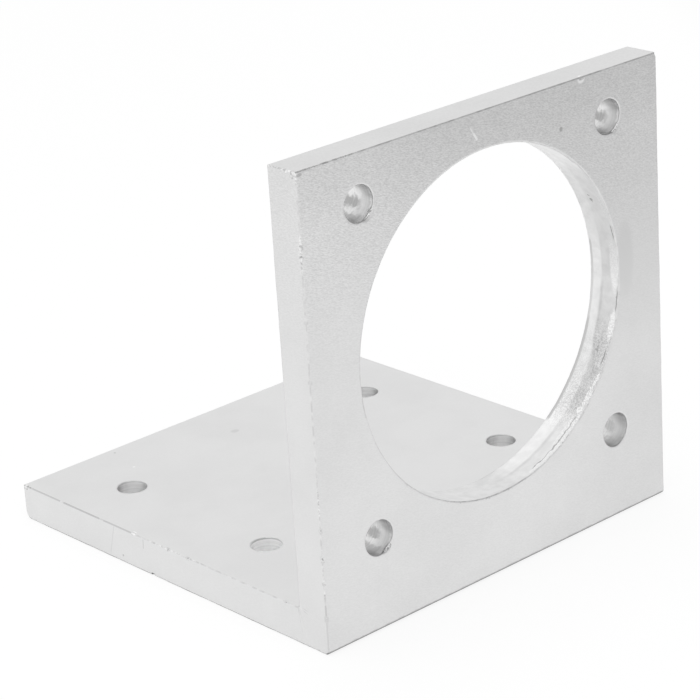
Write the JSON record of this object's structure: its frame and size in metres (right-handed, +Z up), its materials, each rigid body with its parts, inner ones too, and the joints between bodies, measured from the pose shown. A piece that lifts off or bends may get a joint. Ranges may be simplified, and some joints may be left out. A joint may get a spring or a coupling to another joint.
{
  "type": "motor mounting bracket",
  "caption": "L-shaped aluminium bracket: an upright leg with a large round opening and bolt holes on a square for a motor flange, and a drilled base leg.",
  "frame": {"origin": "centre of the bounding box's bottom, on the underside of the base leg", "axes": "+X across the width; +Y from the upright's outer face towards the tip of the base leg, along the motor opening's axis; +Z up, normal to the underside"},
  "size_m": [0.1, 0.1, 0.1],
  "materials": {
    "blasted_aluminium": "fine bead-blasted, pale silver grey, with machined walls in the holes"
  },
  "bodies": {
    "root": {"bracket": "blasted_aluminium"}
  },
  "joints": []
}
